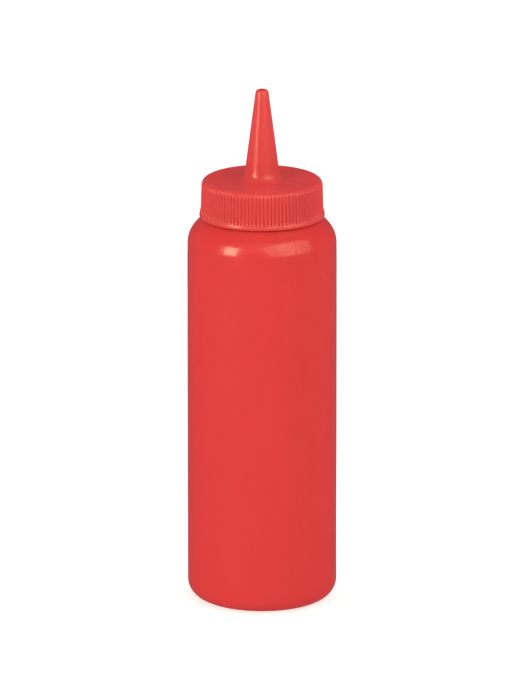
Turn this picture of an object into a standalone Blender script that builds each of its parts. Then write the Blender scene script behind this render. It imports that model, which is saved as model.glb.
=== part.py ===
"""Squeeze bottle for sauce: a blow-moulded bottle and a ribbed screw cap with its cone nozzle in one.

Metres, +Z up. The origin is where the bottle's axis meets the surface that it stands on.
"""

from math import acos, asin, atan2, cos, degrees, pi, radians, sin

import bmesh
import bpy
from mathutils import Matrix, Vector

MM = 0.001
FIT_GAP = 0.3 * MM

# Bottle
BODY_RADIUS = 35.0 * MM
BASE_FILLET = 8.6 * MM
SHOULDER_START = 171.6 * MM  # top of the straight side
SHOULDER_RADIUS = 12.7 * MM
FOOT_RING_WIDTH = 2.6 * MM
PUSH_UP_SLOPE_WIDTH = 3.0 * MM
PUSH_UP_RIM = 2.2 * MM  # height where the base panel starts
PUSH_UP_CROWN = 3.2 * MM  # height of the base panel on the axis

# Cap
LIP_BOTTOM = 184.8 * MM
LIP_RADIUS = 29.25 * MM
LIP_EDGE_FILLET = 0.3 * MM
LIP_BAND = 1.3 * MM  # height of the lip's straight edge
LIP_FLARE = 2.4 * MM  # height of the slope from that edge up to the ribbed wall
RIB_BOTTOM = LIP_BOTTOM + 2.2 * MM  # the ribs end part of the way down the slope
CREST_RADIUS_LOW = 28.6 * MM
CREST_RADIUS_HIGH = 28.3 * MM  # the moulding draft draws the wall in a little
CAP_TOP = 202.3 * MM
CAP_TOP_FILLET = 2.8 * MM
CAP_TOP_WALL = 2.0 * MM
SKIRT_INNER_RADIUS = 26.4 * MM
RIB_COUNT = 100
GROOVE_SIDE = 0.5 * MM  # side of each groove's six-sided cutter
GROOVE_RUN_OUT = 1.3 * MM  # how far the grooves run up into the top fillet

# Nozzle
NOZZLE_TOP = 245.3 * MM
NOZZLE_FOOT_RADIUS = 8.5 * MM  # the cone's radius where it would meet the cap's top
NOZZLE_TIP_RADIUS = 2.9 * MM  # the cone's radius where it would meet the tip's plane
NOZZLE_FOOT_FILLET = 4.2 * MM
NOZZLE_TIP_FILLET = 1.6 * MM
OUTLET_RADIUS = 1.2 * MM
OUTLET_EDGE = 0.25 * MM
OUTLET_DEPTH = 12.0 * MM
NOZZLE_ROOT = 1.0 * MM  # how deep the cone is sunk into the cap's top wall

# Smoothness
BODY_STEPS = 80
NOZZLE_STEPS = 40

NECK_RADIUS = SKIRT_INNER_RADIUS - FIT_GAP
NECK_TOP = CAP_TOP - CAP_TOP_WALL - FIT_GAP


def clear_scene():
    for obj in list(bpy.data.objects):
        bpy.data.objects.remove(obj, do_unlink=True)


def new_collection(name):
    collection = bpy.data.collections.new(name)
    bpy.context.scene.collection.children.link(collection)
    return collection


def plastic(name, colour, roughness):
    material = bpy.data.materials.new(name)
    material.use_nodes = True
    shader = material.node_tree.nodes["Principled BSDF"]
    shader.inputs["Base Color"].default_value = (*colour, 1.0)
    shader.inputs["Roughness"].default_value = roughness
    shader.inputs["Metallic"].default_value = 0.0
    return material


def arc(centre_r, centre_z, radius, start, end, segments):
    """Points (r, z) on a circle, from start to end in degrees, counted from +r towards +z."""
    turn = radians(end - start) / segments
    return [
        (
            centre_r + radius * cos(radians(start) + i * turn),
            centre_z + radius * sin(radians(start) + i * turn),
        )
        for i in range(segments + 1)
    ]


def lathe(name, outline, steps, collection):
    """An object that turns an outline of (r, z) points round the Z axis. The outline runs down its outer side."""
    mesh = bpy.data.meshes.new(name)
    points = [(r, 0.0, z) for r, z in outline]
    mesh.from_pydata(points, [(i, i + 1) for i in range(len(points) - 1)], [])
    obj = bpy.data.objects.new(name, mesh)
    collection.objects.link(obj)
    screw = obj.modifiers.new("turn", "SCREW")
    screw.angle = 2 * pi
    screw.steps = steps
    screw.render_steps = steps
    screw.use_merge_vertices = True
    screw.merge_threshold = 0.00001
    screw.use_smooth_shade = True
    return obj


def boolean(obj, operation, other):
    modifier = obj.modifiers.new(other.name, "BOOLEAN")
    modifier.operation = operation
    modifier.object = other
    modifier.solver = "EXACT"


def as_helper(obj):
    obj.hide_render = True
    obj.display_type = "WIRE"


def even_shading(obj):
    obj.modifiers.new("even shading", "WEIGHTED_NORMAL")


def bottle_outline():
    """From the neck's top down the outside, across the foot ring and up to the middle of the base."""
    centre_r = BODY_RADIUS - SHOULDER_RADIUS
    neck_angle = degrees(acos((NECK_RADIUS - centre_r) / SHOULDER_RADIUS))
    shoulder = arc(centre_r, SHOULDER_START, SHOULDER_RADIUS, neck_angle, 0, 9)
    fillet = arc(BODY_RADIUS - BASE_FILLET, BASE_FILLET, BASE_FILLET, 0, -90, 8)
    foot_inner = BODY_RADIUS - BASE_FILLET - FOOT_RING_WIDTH
    panel_edge = foot_inner - PUSH_UP_SLOPE_WIDTH
    panel = [
        (panel_edge * (1 - t), PUSH_UP_RIM + (PUSH_UP_CROWN - PUSH_UP_RIM) * sin(t * pi / 2))
        for t in (0.0, 0.35, 0.7, 1.0)
    ]
    return [(0.0, NECK_TOP), (NECK_RADIUS, NECK_TOP)] + shoulder + fillet + [(foot_inner, 0.0)] + panel


def skirt_outline():
    """The cap without its nozzle: across the top, down the wall and the lip, and up the inside."""
    edge_r = CREST_RADIUS_HIGH - CAP_TOP_FILLET
    top_edge = arc(edge_r, CAP_TOP - CAP_TOP_FILLET, CAP_TOP_FILLET, 90, 0, 5)
    flare_top = LIP_BOTTOM + LIP_BAND + LIP_FLARE
    lip_edge = arc(LIP_RADIUS - LIP_EDGE_FILLET, LIP_BOTTOM + LIP_EDGE_FILLET, LIP_EDGE_FILLET, 0, -90, 2)
    inner_top = CAP_TOP - CAP_TOP_WALL
    return (
        [(0.0, CAP_TOP)]
        + top_edge
        + [(CREST_RADIUS_LOW, flare_top), (LIP_RADIUS, LIP_BOTTOM + LIP_BAND)]
        + lip_edge
        + [(SKIRT_INNER_RADIUS, LIP_BOTTOM), (SKIRT_INNER_RADIUS, inner_top), (0.0, inner_top)]
    )


def nozzle_outline():
    """From the bottom of the outlet up its wall, over the tip, down the cone and into the cap's top wall."""
    height = NOZZLE_TOP - CAP_TOP
    lean = atan2(NOZZLE_FOOT_RADIUS - NOZZLE_TIP_RADIUS, height)
    outlet_edge = arc(OUTLET_RADIUS + OUTLET_EDGE, NOZZLE_TOP - OUTLET_EDGE, OUTLET_EDGE, 180, 90, 2)

    def cone_radius(z):
        return NOZZLE_TIP_RADIUS + (NOZZLE_TOP - z) * (NOZZLE_FOOT_RADIUS - NOZZLE_TIP_RADIUS) / height

    tip_z = NOZZLE_TOP - NOZZLE_TIP_FILLET
    tip_r = cone_radius(tip_z) - NOZZLE_TIP_FILLET / cos(lean)
    tip = arc(tip_r, tip_z, NOZZLE_TIP_FILLET, 90, degrees(lean), 5)
    foot_z = CAP_TOP + NOZZLE_FOOT_FILLET
    foot_r = cone_radius(foot_z) + NOZZLE_FOOT_FILLET / cos(lean)
    # The fillet stops a little short of flat, so that it meets the cap's top in a clean circle.
    foot = arc(foot_r, foot_z, NOZZLE_FOOT_FILLET, 180 + degrees(lean), 262, 5)
    root_z = CAP_TOP - NOZZLE_ROOT
    return (
        [(0.0, NOZZLE_TOP - OUTLET_DEPTH), (OUTLET_RADIUS, NOZZLE_TOP - OUTLET_DEPTH)]
        + outlet_edge
        + tip
        + foot
        + [(foot[-1][0], root_z), (0.0, root_z)]
    )


def rib_grooves(collection):
    """Six-sided bars round the wall, each with one flat side facing the axis: what they cut leaves the ribs."""
    bottom = RIB_BOTTOM
    top = CAP_TOP - CAP_TOP_FILLET + GROOVE_RUN_OUT
    # The bars follow the draft, leaning in towards the top.
    draft = asin((CREST_RADIUS_LOW - CREST_RADIUS_HIGH) / (top - bottom))
    middle = Vector(((CREST_RADIUS_LOW + CREST_RADIUS_HIGH) / 2, 0.0, (bottom + top) / 2))
    grooves = bmesh.new()
    for i in range(RIB_COUNT):
        azimuth = (i + 0.5) * 2 * pi / RIB_COUNT
        place = (
            Matrix.Rotation(azimuth, 4, "Z")
            @ Matrix.Translation(middle)
            @ Matrix.Rotation(-draft, 4, "Y")
        )
        bmesh.ops.create_cone(
            grooves,
            cap_ends=True,
            segments=6,
            radius1=GROOVE_SIDE,
            radius2=GROOVE_SIDE,
            depth=top - bottom,
            matrix=place,
        )
    mesh = bpy.data.meshes.new("rib_grooves")
    grooves.to_mesh(mesh)
    grooves.free()
    obj = bpy.data.objects.new("rib_grooves", mesh)
    collection.objects.link(obj)
    as_helper(obj)
    return obj


def make_bottle(collection):
    bottle = lathe("bottle", bottle_outline(), BODY_STEPS, collection)
    even_shading(bottle)
    bottle.data.materials.append(plastic("bottle_ldpe", (0.752, 0.056, 0.053), 0.38))


def make_cap(collection, helpers):
    cap = lathe("cap", skirt_outline(), RIB_COUNT, collection)
    nozzle = lathe("nozzle_blank", nozzle_outline(), NOZZLE_STEPS, helpers)
    as_helper(nozzle)
    boolean(cap, "UNION", nozzle)
    boolean(cap, "DIFFERENCE", rib_grooves(helpers))
    even_shading(cap)
    cap.data.materials.append(plastic("cap_ldpe", (0.700, 0.052, 0.052), 0.42))


def main():
    clear_scene()
    parts = new_collection("squeeze_bottle")
    helpers = new_collection("cutters")
    make_bottle(parts)
    make_cap(parts, helpers)


main()
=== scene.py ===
import math

import bpy
import numpy as np
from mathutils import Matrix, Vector


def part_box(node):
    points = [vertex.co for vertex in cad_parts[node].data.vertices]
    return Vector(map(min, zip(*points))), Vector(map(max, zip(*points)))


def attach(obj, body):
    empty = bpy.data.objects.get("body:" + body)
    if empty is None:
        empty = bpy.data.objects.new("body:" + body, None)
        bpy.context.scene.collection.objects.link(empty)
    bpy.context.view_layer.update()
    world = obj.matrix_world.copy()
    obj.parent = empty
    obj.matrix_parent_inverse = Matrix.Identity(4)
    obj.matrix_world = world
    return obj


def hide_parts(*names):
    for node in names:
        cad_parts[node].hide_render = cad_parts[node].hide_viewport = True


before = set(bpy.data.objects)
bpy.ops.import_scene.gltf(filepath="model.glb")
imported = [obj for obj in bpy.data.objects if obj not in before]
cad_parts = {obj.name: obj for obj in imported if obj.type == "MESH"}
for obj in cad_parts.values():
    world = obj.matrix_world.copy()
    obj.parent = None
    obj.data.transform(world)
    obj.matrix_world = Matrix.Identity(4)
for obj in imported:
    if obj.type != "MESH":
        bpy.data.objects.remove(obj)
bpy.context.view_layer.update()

# Outlines are (radius, height) points in mm that run down the outer side.
# Azimuths are counted from the front (-Y), positive towards the right (+X).
mm = 0.001
sharpAngle = 50.0  # degrees. Edges that bend more are shaded sharp
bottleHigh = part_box("bottle")[1] / mm
capLow, capHigh = (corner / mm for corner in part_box("cap"))


def linearColour(hexColour):  # sRGB hex to the linear values of Blender's sockets
    channels = [int(hexColour.lstrip("#")[i : i + 2], 16) / 255 for i in (0, 2, 4)]
    linear = [c / 12.92 if c <= 0.04045 else ((c + 0.055) / 1.055) ** 2.4 for c in channels]
    return (*linear, 1.0)


def fade(low, high, x):  # smooth step from 0 at low to 1 at high
    t = np.clip((x - low) / (high - low), 0.0, 1.0)
    return t * t * (3 - 2 * t)


def bump(offset, width):  # a soft ridge of that width about offset 0
    return np.exp(-((2 * offset / width) ** 2))


def arcPoints(centreR, centreZ, radius, start, end, steps):  # degrees, from outward to upward
    angles = np.radians(np.linspace(start, end, steps + 1))
    return [(centreR + radius * math.cos(a), centreZ + radius * math.sin(a)) for a in angles]


def linePoints(start, end, steps):  # without its two ends
    return [
        (start[0] + (end[0] - start[0]) * i / steps, start[1] + (end[1] - start[1]) * i / steps)
        for i in range(1, steps)
    ]


def evenAzimuths(columns):
    return np.arange(columns) * 2 * math.pi / columns


def beside(ring, j, columns):  # the ring's points along face j, left to right
    step = len(ring) // columns
    return [ring[(j * step + k) % len(ring)] for k in range(step + 1)] if step else list(ring)


def turnPiece(name, bands, reshape):
    # A band is an outline and its azimuths. Bands may differ in columns by a whole factor.
    # reshape takes a ring's azimuths, radii and heights, and gives its new radii and heights.
    points, faces, above = [], [], None
    for outline, azimuths in bands:
        for radius, height in outline:
            at = azimuths if radius > 0 else azimuths[:1]
            r, z = reshape(at, np.full(len(at), radius), np.full(len(at), height))
            ring = range(len(points), len(points) + len(at))
            points += (np.column_stack((r * np.sin(at), -r * np.cos(at), z)) * mm).tolist()
            if above is not None:
                columns = min(n for n in (len(above), len(ring)) if n > 1)
                for j in range(columns):
                    faces.append(beside(ring, j, columns) + beside(above, j, columns)[::-1])
            above = ring
    mesh = bpy.data.meshes.new(name)
    mesh.from_pydata(points, [], faces)
    mesh.shade_smooth()
    mesh.set_sharp_from_angle(angle=math.radians(sharpAngle))
    piece = bpy.data.objects.new(name, mesh)
    bpy.context.scene.collection.objects.link(piece)
    return piece


bottle = {
    "columns": 240,
    "shoulderStart": 171.8,
    "shoulderRadius": 12.7,
    "shoulderTilt": 42.0,  # degrees. From there the shoulder runs straight up to the cap
    "landGap": 0.5,  # between the flat land round the neck and the cap's lip
    "landEdge": 0.3,
    "neckRadius": 26.1,
    "baseFillet": 8.6,
    "footRing": 2.6,  # width of the flat ring that it stands on
    "pushUpSlope": 3.0,
    "pushUpRim": 2.2,
    "pushUpCrown": 3.2,
    "partingAzimuth": 27.0,  # degrees, and again opposite
    "partingHeight": 0.14,  # on the shoulder
    "partingShare": 0.35,  # of that height on the straight wall, where the line is fainter
    "partingFade": 8.0,  # height from the one to the other
    "partingWidth": 0.45,
    "partingColumns": (0.35, 0.6, 1.0, 1.6, 2.5),  # widths from the line to the fine columns beside it
    "partingClear": 1.4,  # the even columns start this much further out than the last fine one
    "pinchOffHeight": 0.35,  # weld under the base, where the mould closed the tube
    "pinchOffWidth": 0.9,
    "pinchOffLength": 34.0,
    "pinchOffFade": 2.0,
    "unevenness": 0.04,  # how far the blown wall wanders
    "waves": (  # of that wander: lobes round the wall, mm of height to a radian, phase, share
        (2, 23.0, 0.6, 1.0),
        (3, -17.0, 2.1, 0.7),
        (5, 9.0, 4.0, 0.5),
    ),
    "neckTrue": 2.0,  # width next to the neck over which wander and parting lines fade out
    "footTrue": 3.0,  # height above the foot that does the same
}


def bottleAzimuths(look):  # even all round, and finer across the two parting lines
    seam = math.radians(look["partingAzimuth"])
    offsets = np.array(look["partingColumns"]) * look["partingWidth"] / bottleHigh.x
    near = np.concatenate((-offsets[::-1], [0.0], offsets))
    even = evenAzimuths(look["columns"])
    clear = np.abs(np.sin(even - seam)) > offsets[-1] * look["partingClear"]
    return np.sort(np.concatenate((even[clear], seam + near, seam + math.pi + near)))


def bottleOutline(look):
    wall = bottleHigh.x
    neck = look["neckRadius"]
    neckMiddle, neckTop = (0.0, bottleHigh.z), (neck, bottleHigh.z)
    centreR = wall - look["shoulderRadius"]
    radius, start, tilt = look["shoulderRadius"], look["shoulderStart"], look["shoulderTilt"]
    shoulder = arcPoints(centreR, start, radius, tilt, 0, steps=32)
    # the land's rounded edge touches the straight part of the shoulder
    edge, land = look["landEdge"], capLow.z - look["landGap"]
    rise = (land - edge - start) * math.sin(math.radians(tilt))
    edgeR = centreR + (radius - edge - rise) / math.cos(math.radians(tilt))
    landEdge = arcPoints(edgeR, land - edge, edge, 90, tilt, steps=4)
    corner = look["baseFillet"]
    fillet = arcPoints(wall - corner, corner, corner, 0, -90, steps=18)
    footInner = fillet[-1][0] - look["footRing"]
    panelEdge = footInner - look["pushUpSlope"]
    crownRise = look["pushUpCrown"] - look["pushUpRim"]
    slope = [
        (footInner - look["pushUpSlope"] * t, look["pushUpRim"] * float(fade(0, 1, t)))
        for t in np.linspace(0, 1, 8)
    ]
    panel = [
        (panelEdge * (1 - t), look["pushUpRim"] + crownRise * math.sin(t * math.pi / 2))
        for t in np.linspace(0, 1, 16)[1:-1]
    ]
    return (
        [neckMiddle]
        + linePoints(neckMiddle, neckTop, steps=3)
        + [neckTop]
        + linePoints(neckTop, (neck, land), steps=4)
        + [(neck, land)]
        + linePoints((neck, land), landEdge[0], steps=3)
        + landEdge
        + linePoints(landEdge[-1], shoulder[0], steps=5)
        + shoulder
        + linePoints(shoulder[-1], fillet[0], steps=66)
        + fillet
        + linePoints(fillet[-1], slope[0], steps=3)
        + slope
        + panel
        + [(0.0, look["pushUpCrown"])]
    )


def blownWall(look):
    seam = math.radians(look["partingAzimuth"])
    neck = look["neckRadius"]
    shoulder = look["shoulderStart"]
    baseInner = bottleHigh.x - look["baseFillet"] - look["footRing"]
    weldEnd = look["pinchOffLength"] / 2
    waveSum = sum(share for *_, share in look["waves"])

    def reshape(azimuth, r, z):
        offPlane = r * np.sin(azimuth - seam)
        alongPlane = np.abs(r * np.cos(azimuth - seam))
        ridge = bump(offPlane, look["partingWidth"])
        wander = sum(
            share * np.sin(lobes * azimuth + z / rise + phase)
            for lobes, rise, phase, share in look["waves"]
        ) / waveSum
        # Ridge and wander stay on the inner side of the full radius, and leave neck and foot true.
        outside = fade(neck, neck + look["neckTrue"], r) * fade(0.0, look["footTrue"], z)
        onShoulder = fade(shoulder - look["partingFade"], shoulder, z)
        partingShare = look["partingShare"] + (1 - look["partingShare"]) * onShoulder
        inset = look["partingHeight"] * partingShare * (ridge - 1)
        inset = inset + look["unevenness"] * (wander - 1)
        under = (z <= look["pushUpCrown"]) & (r < baseInner)
        weldShare = fade(weldEnd, weldEnd - look["pinchOffFade"], alongPlane)
        weld = look["pinchOffHeight"] * weldShare * bump(offPlane, look["pinchOffWidth"])
        return r + outside * inset, z - under * weld

    return reshape


cap = {
    "ribs": 100,
    "columnsPerRib": 10,
    "topColumnsPerRib": 2,  # for the flat top, the nozzle and the inside
    "crestLow": 28.6,
    "crestHigh": 28.3,
    "grooveDepth": 0.65,
    "crestShare": 1.5,  # above 1 the crests are wider than the grooves
    "grooveRunOut": 2.1,  # how far the grooves climb into the top edge
    "grooveFade": 0.8,
    "ribBottom": 1.9,  # above the lip's lower face
    "ribLedge": 0.7,  # height over which the grooves end on the lip
    "lipBand": 1.1,  # straight edge of the lip
    "lipFlare": 2.6,  # slope from that edge up to the ribbed wall
    "lipEdge": 0.3,
    "lipMarks": (15.4, 18.8),  # degrees. Nicks from the cap's way out of its mould
    "lipMarkDepth": 0.25,
    "lipMarkWidth": 0.4,
    "lipMarkFade": 0.5,  # height over which they end among the ribs
    "topHeight": 17.5,  # of the flat top above the lip's lower face
    "topFillet": 2.8,
    "topWall": 2.0,
    "innerRadius": 26.4,
    "nozzleFoot": 8.5,
    "nozzleTip": 2.9,
    "footFillet": 4.2,
    "tipFillet": 1.6,
    "outletRadius": 1.2,
    "outletEdge": 0.25,
    "outletDepth": 12.0,
}


def nozzleOutline(look):
    top, foot = capHigh.z, capLow.z + look["topHeight"]
    taper = (look["nozzleFoot"] - look["nozzleTip"]) / (top - foot)
    lean = math.atan(taper)
    outletEnd = (0.0, top - look["outletDepth"])
    outlet = (look["outletRadius"], outletEnd[1])
    rimR, rimZ = look["outletRadius"] + look["outletEdge"], top - look["outletEdge"]
    rim = arcPoints(rimR, rimZ, look["outletEdge"], 180, 90, steps=5)
    tipZ = top - look["tipFillet"]
    tipR = look["nozzleTip"] + look["tipFillet"] * taper - look["tipFillet"] / math.cos(lean)
    tip = arcPoints(tipR, tipZ, look["tipFillet"], 90, math.degrees(lean), steps=10)
    filletZ = foot + look["footFillet"]
    filletR = look["nozzleTip"] + (top - filletZ) * taper + look["footFillet"] / math.cos(lean)
    fillet = arcPoints(filletR, filletZ, look["footFillet"], 180 + math.degrees(lean), 270, steps=14)
    return (
        [outletEnd]
        + linePoints(outletEnd, outlet, steps=2)
        + [outlet]
        + linePoints(outlet, rim[0], steps=5)
        + rim
        + tip
        + linePoints(tip[-1], fillet[0], steps=14)
        + fillet
    )


def skirtOutline(look):
    top = capLow.z + look["topHeight"]
    fillet = look["topFillet"]
    edge = arcPoints(look["crestHigh"] - fillet, top - fillet, fillet, 90, 0, steps=12)

    def onFlare(height):  # above the lip's lower face
        share = (height - look["lipBand"]) / look["lipFlare"]
        return (capHigh.x + (look["crestLow"] - capHigh.x) * share, capLow.z + height)

    bandTop = onFlare(look["lipBand"])
    flareTop = onFlare(look["lipBand"] + look["lipFlare"])
    ribEnd = onFlare(look["ribBottom"])
    ledgeTop = onFlare(look["ribBottom"] + look["ribLedge"])
    corner = look["lipEdge"]
    lip = arcPoints(capHigh.x - corner, capLow.z + corner, corner, 0, -90, steps=5)
    return (
        edge
        + linePoints(edge[-1], flareTop, steps=14)
        + [flareTop]
        + linePoints(flareTop, ledgeTop, steps=3)
        + linePoints(ledgeTop, ribEnd, steps=5)
        + linePoints(ribEnd, bandTop, steps=4)
        + [bandTop]
        + linePoints(bandTop, lip[0], steps=4)
        + lip
        + [(look["innerRadius"], capLow.z), (look["innerRadius"], top - look["topWall"])]
    )


def mouldedRibs(look):
    grooveTop = capLow.z + look["topHeight"] - look["topFillet"] + look["grooveRunOut"]
    grooveLow = capLow.z + look["ribBottom"]
    marks = np.radians(look["lipMarks"])

    def reshape(azimuth, r, z):
        groove = (0.5 - 0.5 * np.cos(azimuth * look["ribs"])) ** look["crestShare"]
        draft = (z - grooveLow) / (grooveTop - grooveLow)
        floor = look["crestLow"] + (look["crestHigh"] - look["crestLow"]) * draft - look["grooveDepth"]
        reach = fade(grooveTop, grooveTop - look["grooveFade"], z)
        reach = reach * fade(grooveLow, grooveLow + look["ribLedge"], z)
        nicks = sum(bump((azimuth - mark) * r, look["lipMarkWidth"]) for mark in marks)
        nicks = nicks * fade(grooveLow + look["lipMarkFade"], grooveLow, z)
        depth = groove * reach * np.maximum(r - floor, 0) + look["lipMarkDepth"] * nicks
        return r - depth * (r > look["innerRadius"]), z

    return reshape


def addNode(material, kind, settings=None, values=None, links=None):
    node = material.node_tree.nodes.new(kind)
    for name, value in (settings or {}).items():
        setattr(node, name, value)
    for socket, value in (values or {}).items():
        node.inputs[socket].default_value = value
    for socket, source in (links or {}).items():
        material.node_tree.links.new(source, node.inputs[socket])
    return node


# Low-density polyethylene is waxy and a little see-through, so that its shadows glow red.
# These values hold however it was moulded.
lowDensityPolyethylene = {
    "ior": 1.51,
    "specular": 0.25,  # low, as skin and body together reflect like one face of the plastic
    "roughness": (0.32, 0.38),
    "handlingPatch": 12.0,  # mm between the places that handling has left smoother or rougher
    "handlingSpread": (0.35, 0.65),  # of the noise that spans the two roughnesses
    "pigmentPatch": 35.0,  # mm between patches where the pigment is mixed in less evenly
    "glow": 0.45,  # light that enters the waxy wall and comes out beside
    "glowSpread": (1.0, 0.15, 0.12),  # red light goes furthest
    "bloomRoughness": 0.3,
    "bloomColour": "#FF4444",
}
# Blow moulded, it has a satin sheen, clearly bounded highlights and faint lines where the tube
# was drawn.
blownPolyethylene = {
    **lowDensityPolyethylene,
    "name": "blowMouldedLdpe",
    "colour": "#C83437",
    "streakColour": "#C23134",
    "skin": 0.7,  # the smooth skin of the wall: it keeps highlights bright
    "skinRoughness": 0.09,
    "grain": 0.7,  # mm. The mould's blasting is 0.15 mm and is drawn coarser, so that it shows
    "grainDepth": 0.012,
    "drawLines": 2.2,  # mm between the faint lines of the drawn tube
    "drawLineLength": 50.0,  # times that
    "drawLineDepth": 0.010,
    "glowDepth": 2.4,
    "bloom": 0.5,  # the waxy wall lets light past its outline, which stays as red as its middle
}
# Injection moulded, it has crisp ribs, no draw lines, a touch paler colour, a polished nozzle and
# skirt, and a flat top that the mould leaves matt.
mouldedPolyethylene = {
    **lowDensityPolyethylene,
    "name": "injectionMouldedLdpe",
    "colour": "#CB4045",
    "streakColour": "#C53D41",
    "skin": 0.6,
    "skinRoughness": 0.11,
    "grain": 0.5,  # mm, drawn coarser here too
    "grainDepth": 0.008,
    "glowDepth": 1.6,
    "bloom": 0.2,
    "flatTop": (0.97, 0.995),  # how squarely a face has to look up to be matt
    "flatTopSkin": 0.05,
}


def polyethylene(look):
    material = bpy.data.materials.new(look["name"])
    material.use_nodes = True
    link = material.node_tree.links.new
    shader = material.node_tree.nodes["Principled BSDF"].inputs
    shader["IOR"].default_value = look["ior"]
    shader["Specular IOR Level"].default_value = look["specular"]
    shader["Subsurface Weight"].default_value = look["glow"]
    shader["Subsurface Radius"].default_value = look["glowSpread"]
    shader["Subsurface Scale"].default_value = look["glowDepth"] * mm
    shader["Coat Weight"].default_value = look["skin"]
    shader["Coat Roughness"].default_value = look["skinRoughness"]
    shader["Coat IOR"].default_value = look["ior"]
    shader["Sheen Weight"].default_value = look["bloom"]
    shader["Sheen Roughness"].default_value = look["bloomRoughness"]
    shader["Sheen Tint"].default_value = linearColour(look["bloomColour"])
    coordinates = addNode(material, "ShaderNodeTexCoord")
    place = coordinates.outputs["Object"]
    # pigment that isn't quite evenly mixed
    pigment = addNode(
        material,
        "ShaderNodeTexNoise",
        values={"Scale": 1 / (look["pigmentPatch"] * mm), "Detail": 3.0, "Roughness": 0.6},
        links={"Vector": place},
    )
    # for colours, the Mix node's sockets 6 and 7 are what it mixes and output 2 is the result
    colour = addNode(
        material,
        "ShaderNodeMix",
        settings={"data_type": "RGBA"},
        values={6: linearColour(look["colour"]), 7: linearColour(look["streakColour"])},
        links={"Factor": pigment.outputs[0]},
    )
    link(colour.outputs[2], shader["Base Color"])
    # handling leaves the sheen a little uneven
    handling = addNode(
        material,
        "ShaderNodeTexNoise",
        values={"Scale": 1 / (look["handlingPatch"] * mm), "Detail": 5.0, "Roughness": 0.65},
        links={"Vector": place},
    )
    low, high = look["handlingSpread"]
    smooth, rough = look["roughness"]
    sheen = addNode(
        material,
        "ShaderNodeMapRange",
        values={"From Min": low, "From Max": high, "To Min": smooth, "To Max": rough},
        links={"Value": handling.outputs[0]},
    )
    link(sheen.outputs[0], shader["Roughness"])
    if "flatTop" in look:
        normal = coordinates.outputs["Normal"]
        facing = addNode(material, "ShaderNodeSeparateXYZ", links={"Vector": normal})
        leaning, level = look["flatTop"]
        skin = addNode(
            material,
            "ShaderNodeMapRange",
            values={
                "From Min": leaning,
                "From Max": level,
                "To Min": look["skin"],
                "To Max": look["flatTopSkin"],
            },
            links={"Value": facing.outputs["Z"]},
        )
        link(skin.outputs[0], shader["Coat Weight"])
    grain = addNode(
        material,
        "ShaderNodeTexNoise",
        values={"Scale": 1 / (look["grain"] * mm), "Detail": 2.0},
        links={"Vector": place},
    )
    relief = addNode(
        material,
        "ShaderNodeBump",
        values={"Strength": 1.0, "Distance": look["grainDepth"] * mm},
        links={"Height": grain.outputs[0]},
    )
    if "drawLines" in look:
        drawn = addNode(
            material,
            "ShaderNodeMapping",
            values={"Scale": (1.0, 1.0, 1 / look["drawLineLength"])},
            links={"Vector": place},
        )
        lines = addNode(
            material,
            "ShaderNodeTexNoise",
            values={"Scale": 1 / (look["drawLines"] * mm), "Detail": 1.0},
            links={"Vector": drawn.outputs[0]},
        )
        relief = addNode(
            material,
            "ShaderNodeBump",
            values={"Strength": 1.0, "Distance": look["drawLineDepth"] * mm},
            links={"Height": lines.outputs[0], "Normal": relief.outputs[0]},
        )
    link(relief.outputs[0], shader["Normal"])
    return material


studio = {  # sizes in metres
    "ambient": 0.08,  # the pale room's own light
    "floorSize": 16.0,
    "floorColour": "#B6B9BE",  # a little cool, against the warm softboxes
    "floorRoughness": 0.9,
    "floorGlow": 0.66,  # lit from below, as a light table
    "softboxColour": "#FFEEC9",
    # azimuth and elevation in degrees, distance, width, height, radiance
    "softboxes": {
        "keyLeft": (-52, 18.2, 2.5, 1.5, 1.44, 1.3),
        "keyLamp": (-50, 17.4, 2.4, 0.82, 1.34, 8.0),  # the hot middle of the same softbox
        "windowRight": (46, 29.3, 2.5, 3.6, 2.4, 1.5),
        "windowCore": (45, 28, 2.4, 1.2, 2.0, 1.1),  # the brighter middle of the same window
        "ceiling": (0, 42, 2.5, 3.0, 2.0, 0.4),
    },
    "fills": {  # white, and so soft that they leave no reflection of their own
        "overhead": (180, 84, 2.5, 3.2, 3.2, 1.5),
        "fillFront": (0, 0, 2.5, 3.0, 1.2, 0.35),
        "fillLeft": (-120, 4, 2.5, 1.8, 1.8, 2.7),
        "fillRight": (118, 4, 2.5, 1.8, 1.8, 3.5),
    },
}


def outward(azimuth, elevation):
    a, e = math.radians(azimuth), math.radians(elevation)
    return Vector((math.sin(a) * math.cos(e), -math.cos(a) * math.cos(e), math.sin(e)))


def addSoftbox(name, setup, aim, colour=(1.0, 1.0, 1.0)):
    azimuth, elevation, distance, width, height, radiance = setup
    lamp = bpy.data.lights.new(name, "AREA")
    lamp.shape = "RECTANGLE"
    lamp.size, lamp.size_y = width, height
    lamp.energy = radiance * math.pi * width * height
    lamp.color = colour
    softbox = bpy.data.objects.new(name, lamp)
    softbox.location = aim + outward(azimuth, elevation) * distance
    softbox.rotation_euler = outward(azimuth, elevation).to_track_quat("Z", "Y").to_euler()
    softbox.visible_camera = False
    bpy.context.scene.collection.objects.link(softbox)
    return softbox


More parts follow.
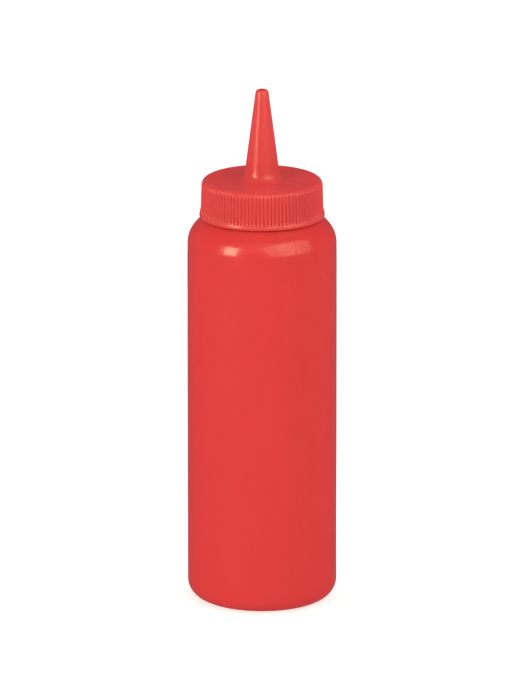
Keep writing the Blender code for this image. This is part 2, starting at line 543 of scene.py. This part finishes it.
def buildStudio(look, aim):
    world = bpy.data.worlds.new("paleRoom")
    world.use_nodes = True
    room = world.node_tree.nodes["Background"].inputs
    room["Color"].default_value = (1.0, 1.0, 1.0, 1.0)
    room["Strength"].default_value = look["ambient"]
    bpy.context.scene.world = world
    for name, setup in look["softboxes"].items():
        addSoftbox(name, setup, aim, linearColour(look["softboxColour"])[:3])
    for name, setup in look["fills"].items():
        addSoftbox(name, setup, aim).visible_glossy = False
    half = look["floorSize"] / 2
    mesh = bpy.data.meshes.new("floor")
    corners = [(-half, -half, 0), (half, -half, 0), (half, half, 0), (-half, half, 0)]
    mesh.from_pydata(corners, [], [(0, 1, 2, 3)])
    floor = bpy.data.objects.new("floor", mesh)
    bpy.context.scene.collection.objects.link(floor)
    paper = bpy.data.materials.new("whitePaper")
    paper.use_nodes = True
    sheet = paper.node_tree.nodes["Principled BSDF"].inputs
    sheet["Base Color"].default_value = linearColour(look["floorColour"])
    sheet["Roughness"].default_value = look["floorRoughness"]
    sheet["Emission Color"].default_value = (1.0, 1.0, 1.0, 1.0)
    sheet["Emission Strength"].default_value = look["floorGlow"]
    mesh.materials.append(paper)
    floor.visible_glossy = False  # the gloss shows the softboxes and the room, not the floor


view = {  # sizes in mm
    "pitch": 15.75,  # degrees that the camera looks down
    "distance": 5000.0,
    "aimX": 0.2,
    "aimZ": 119.4,
    "pixelsPerMm": 2.1363,
    "frameHeight": 700,  # pixels
    "sensor": 36.0,  # spans the frame's longer side, its height
}


def addCamera(look):
    lens = bpy.data.cameras.new("mainCamera")
    lens.sensor_width = look["sensor"]
    lens.lens = look["sensor"] * look["distance"] * look["pixelsPerMm"] / look["frameHeight"]
    camera = bpy.data.objects.new("mainCamera", lens)
    aim = Vector((look["aimX"], 0.0, look["aimZ"])) * mm
    camera.location = aim + outward(0, look["pitch"]) * look["distance"] * mm
    camera.rotation_euler = outward(0, look["pitch"]).to_track_quat("Z", "Y").to_euler()
    bpy.context.scene.collection.objects.link(camera)
    bpy.context.scene.camera = camera


print("camera and studio")
addCamera(view)
buildStudio(studio, Vector((0.0, 0.0, view["aimZ"] * mm)))
bpy.context.scene.view_settings.view_transform = "Standard"

print("bottle: blown wall, parting lines and pinch-off")
wallBands = [(bottleOutline(bottle), bottleAzimuths(bottle))]
bottleBody = turnPiece("bottleBody", wallBands, blownWall(bottle))
bottleBody.data.materials.append(polyethylene(blownPolyethylene))

print("cap: nozzle, top, ribs and lip")
fine = evenAzimuths(cap["ribs"] * cap["columnsPerRib"])
coarse = evenAzimuths(cap["ribs"] * cap["topColumnsPerRib"])
nozzle = nozzleOutline(cap)
skirt = skirtOutline(cap)
flatTop = linePoints(nozzle[-1], skirt[0], steps=8)
innerEdge = skirt[-1]
innerMiddle = (0.0, innerEdge[1])
inside = linePoints(innerEdge, innerMiddle, steps=2) + [innerMiddle]
capBands = [(nozzle + flatTop, coarse), (skirt, fine), (inside, coarse)]
capWithNozzle = turnPiece("capWithNozzle", capBands, mouldedRibs(cap))
capWithNozzle.data.materials.append(polyethylene(mouldedPolyethylene))

for piece, node in ((bottleBody, "bottle"), (capWithNozzle, "cap")):
    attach(piece, "root")
    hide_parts(node)
    print(piece.name, len(piece.data.polygons), "faces")
